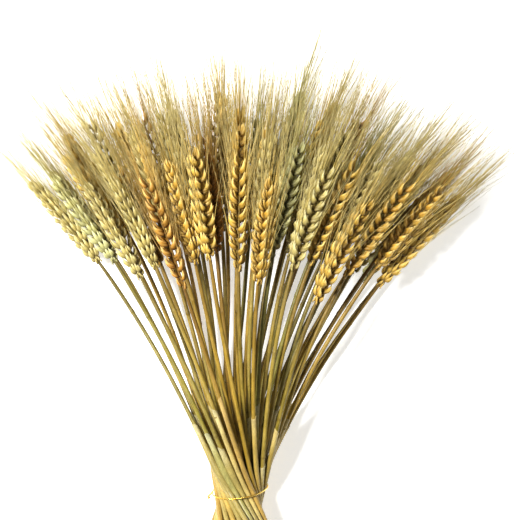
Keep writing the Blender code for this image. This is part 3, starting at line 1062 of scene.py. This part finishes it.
        rings = encircled(line, across, np.cross(ahead, across), self.awn_sides, radius[:, None])
        along = np.broadcast_to(share, (count, len(share)))
        tone = draw.uniform(0, 1, count)
        skin.tubes(rings, line[:, [0, -1]], Organ.AWN, tone, along, 0.0 * along, along * 0.06 + draw.uniform(0, 9))


@dataclass(frozen=True)
class Stalk:
    """One whole stalk: its straw and its ear as one piece."""

    number: int
    straw: Straw = Straw()
    ear: Ear = Ear()
    first_seed: int = 5000

    @property
    def node(self) -> str:
        """The name of the solid that this stalk stands for."""
        return f"stalk_{self.number:02d}"

    def build(self, course: Course, slot: str, material: Material) -> Object:
        """Grows the stalk along its course, dresses it, and puts it in its solid's place.

        Args:
            course: the stalk's line.
            slot: its slot in the record; not used.
            material: the finish of that slot.

        Returns:
            The finished piece.
        """
        draw = np.random.default_rng(self.first_seed + self.number)
        skin = Skin()
        self.straw.build(skin, course, draw)
        self.ear.build(skin, course, draw)
        return dressed(skin.piece(f"wheat_{self.number:02d}"), self.node, material)


# ---- the tie


@dataclass(frozen=True)
class GiltTie:
    """The gilt wire: two strands twisted into a ring round the straws, with their ends twisted down at the left."""

    plan: BunchPlan
    lean: Pair = (0.13, -0.24)
    oval: float = 1.035
    turns: int = 44
    groove: float = 0.36
    stations: int = 352
    sides: int = 10
    solid_sides: int = 26
    end_stations: int = 48
    end_sides: int = 8
    end_turns: float = 3.5
    end_radius: float = 0.00040
    end_drop: float = 0.0135
    end_splay: Pair = (0.00040, 0.00045)  # the strands' distance from their middle, and more at the tips

    def build(self, material: Material) -> Object:
        """Winds the ring and the twisted ends, dresses them, and puts them in the solid tie's place."""
        bundle = self.plan.bundle()
        reach = self.plan.sizes.straw_radius[1] + self.plan.gap + 0.5 * self.plan.wire
        across, up = self.oval * bundle + reach, bundle + reach
        centre = up + 0.5 * self.plan.wire
        skin = Skin()
        self.ring(skin, across, up, centre)
        self.ends(skin, across / math.cos(math.pi / self.solid_sides), centre)
        return dressed(skin.piece("gilt_tie"), "tie", material)

    def ring(self, skin: Skin, across: float, up: float, centre: float) -> None:
        """Adds the ring: an oval path, with a section of radius a + b * cos² of the angle past the strands' turn.

        Args:
            skin: the tie's skin.
            across: half the oval's width.
            up: half its height.
            centre: the height of its middle.
        """
        theta = corners(self.stations)
        x, z = across * np.sin(theta), centre - up * np.cos(theta)
        path = np.stack([x, self.lean[0] * x + self.lean[1] * z, z], axis=-1)
        ahead = unit(np.roll(path, -1, axis=0) - np.roll(path, 1, axis=0))
        outward = path - path.mean(0)
        outward = unit(outward - ahead * (outward * ahead).sum(-1, keepdims=True))
        crest = np.cos(corners(self.sides)[None] - self.turns * theta[:, None]) ** 2
        radius = 0.5 * self.plan.wire * (1 - self.groove + self.groove * crest)
        rings = encircled(path, outward, np.cross(ahead, outward), self.sides, radius)[None]
        still = np.zeros((1, self.stations))
        skin.tubes(rings, None, Organ.STRAW, [0.5], still, still, theta[None] * across)

    def ends(self, skin: Skin, across: float, centre: float) -> None:
        """Adds the ends: two strands wound round the line that hangs from the ring's left side.

        Args:
            skin: the tie's skin.
            across: how far left of the middle the line starts.
            centre: the height of the ring's middle.
        """
        t = np.linspace(0, 1, self.end_stations)
        x = -across - 0.0030 * np.sin(2.2 * t)
        z = centre + 0.0012 - self.end_drop * t
        path = np.stack([x, self.lean[0] * x + self.lean[1] * centre - 0.005 * t, z], axis=-1)
        ahead = unit(np.gradient(path, axis=0))
        outward = unit(np.cross(ahead, np.array([0.0, 1.0, 0.0])))
        turn = t * 2 * math.pi * self.end_turns + np.array([0.0, math.pi])[:, None]
        offset = outward * np.cos(turn)[..., None] + np.cross(ahead, outward) * np.sin(turn)[..., None]
        close, splay = self.end_splay
        line = path + offset * (close + splay * smooth((t - 0.82) / 0.18))[:, None]
        forward = unit(np.gradient(line, axis=1))
        side = unit(np.cross(forward, offset))
        radius = self.end_radius * np.sqrt(np.clip((1.0 - t) / 0.03, 0.15, 1.0))
        rings = encircled(line, side, np.cross(forward, side), self.end_sides, radius[:, None])
        still = np.zeros(line.shape[:2])
        skin.tubes(rings, line[:, [0, -1]], Organ.STRAW, [0.5, 0.5], still, still, still)


# ---- the studio


@dataclass(frozen=True)
class Lamp:
    """A square soft light."""

    name: str
    place: Triple
    size: float
    power: float


@dataclass(frozen=True)
class Studio:
    """The pale table, the soft lights and the camera straight above."""

    table_half: float = 12.0
    table_below: float = 0.0002
    middle: Triple = (0.0146, 0.1626, 0.045)
    shown: float = 0.3744
    camera_height: float = 1.6
    sensor: float = 36.0
    lamps: tuple[Lamp, ...] = (
        Lamp("key", (-0.60, 0.30, 1.22), 0.24, 32.0),
        Lamp("fill", (0.8, -0.3, 1.1), 1.0, 1.2),
    )
    room_light: float = 0.22
    gamma: float = 0.90

    def build(self) -> None:
        """Sets the table, the lights, the room's light and the camera."""
        self.table()
        for lamp in self.lamps:
            self.light(lamp)
        self.room()
        self.camera()
        view = bpy.context.scene.view_settings
        view.view_transform = "Standard"
        view.gamma = self.gamma

    def table(self) -> Object:
        """The table top: a flat square just under the bunch."""
        half, height = self.table_half, -self.table_below
        points = [(-half, -half, height), (half, -half, height), (half, half, height), (-half, half, height)]
        mesh = bpy.data.meshes.new("table")
        mesh.from_pydata(points, [], [(0, 1, 2, 3)])
        mesh.materials.append(TableFinish().material())
        return placed(bpy.data.objects.new("table", mesh))

    def light(self, lamp: Lamp) -> None:
        """Adds a lamp that faces the middle of the bunch."""
        light = bpy.data.lights.new(lamp.name, "AREA")
        light.shape = "SQUARE"
        light.size = lamp.size
        light.energy = lamp.power
        holder = placed(bpy.data.objects.new(lamp.name, light))
        holder.location = lamp.place
        aim = holder.location - type(holder.location)(self.middle)
        holder.rotation_euler = aim.to_track_quat("Z", "Y").to_euler()

    def room(self) -> None:
        """Fills the room with even white light."""
        world = bpy.data.worlds.new("room")
        world.use_nodes = True
        ground = world.node_tree.nodes["Background"]
        ground.inputs["Color"].default_value = (1.0, 1.0, 1.0, 1.0)
        ground.inputs["Strength"].default_value = self.room_light
        bpy.context.scene.world = world

    def camera(self) -> None:
        """Looks straight down on the bunch, framed as wide as `shown` at the height of its middle."""
        lens = bpy.data.cameras.new("camera")
        lens.sensor_width = self.sensor
        lens.lens = self.sensor * self.camera_height / self.shown
        lens.clip_end = 100.0
        camera = placed(bpy.data.objects.new("camera", lens))
        x, y, z = self.middle
        camera.location = (x, y, z + self.camera_height)
        bpy.context.scene.camera = camera


def main() -> None:
    """Builds the wheat, the tie and the studio in order."""
    logging.basicConfig(level=logging.INFO, format="%(message)s")
    report = logging.getLogger("wheat")
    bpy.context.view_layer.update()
    slots = {part["node"]: part["material_slot"] for part in frame["record"]["subparts"]}
    fibre, weather = fibre_group(), weather_group()
    finishes = {tone.value.slot: tone.value.material(fibre, weather) for tone in WheatTone}
    plan = BunchPlan()
    total = 0
    for number, course in enumerate(plan.gathered(), start=1):
        stalk = Stalk(number)
        piece = stalk.build(course, slots[stalk.node], finishes[slots[stalk.node]])
        faces = sum(len(face.vertices) - 2 for face in piece.data.polygons)
        total += faces
        report.info("%s: %d triangles, %s", piece.name, faces, slots[stalk.node])
    tie = GiltTie(plan).build(GiltFinish().material(weather))
    report.info("%s: %d faces", tie.name, len(tie.data.polygons))
    report.info("all stalks: %d triangles", total)
    Studio().build()


if __name__ == "__main__":
    main()
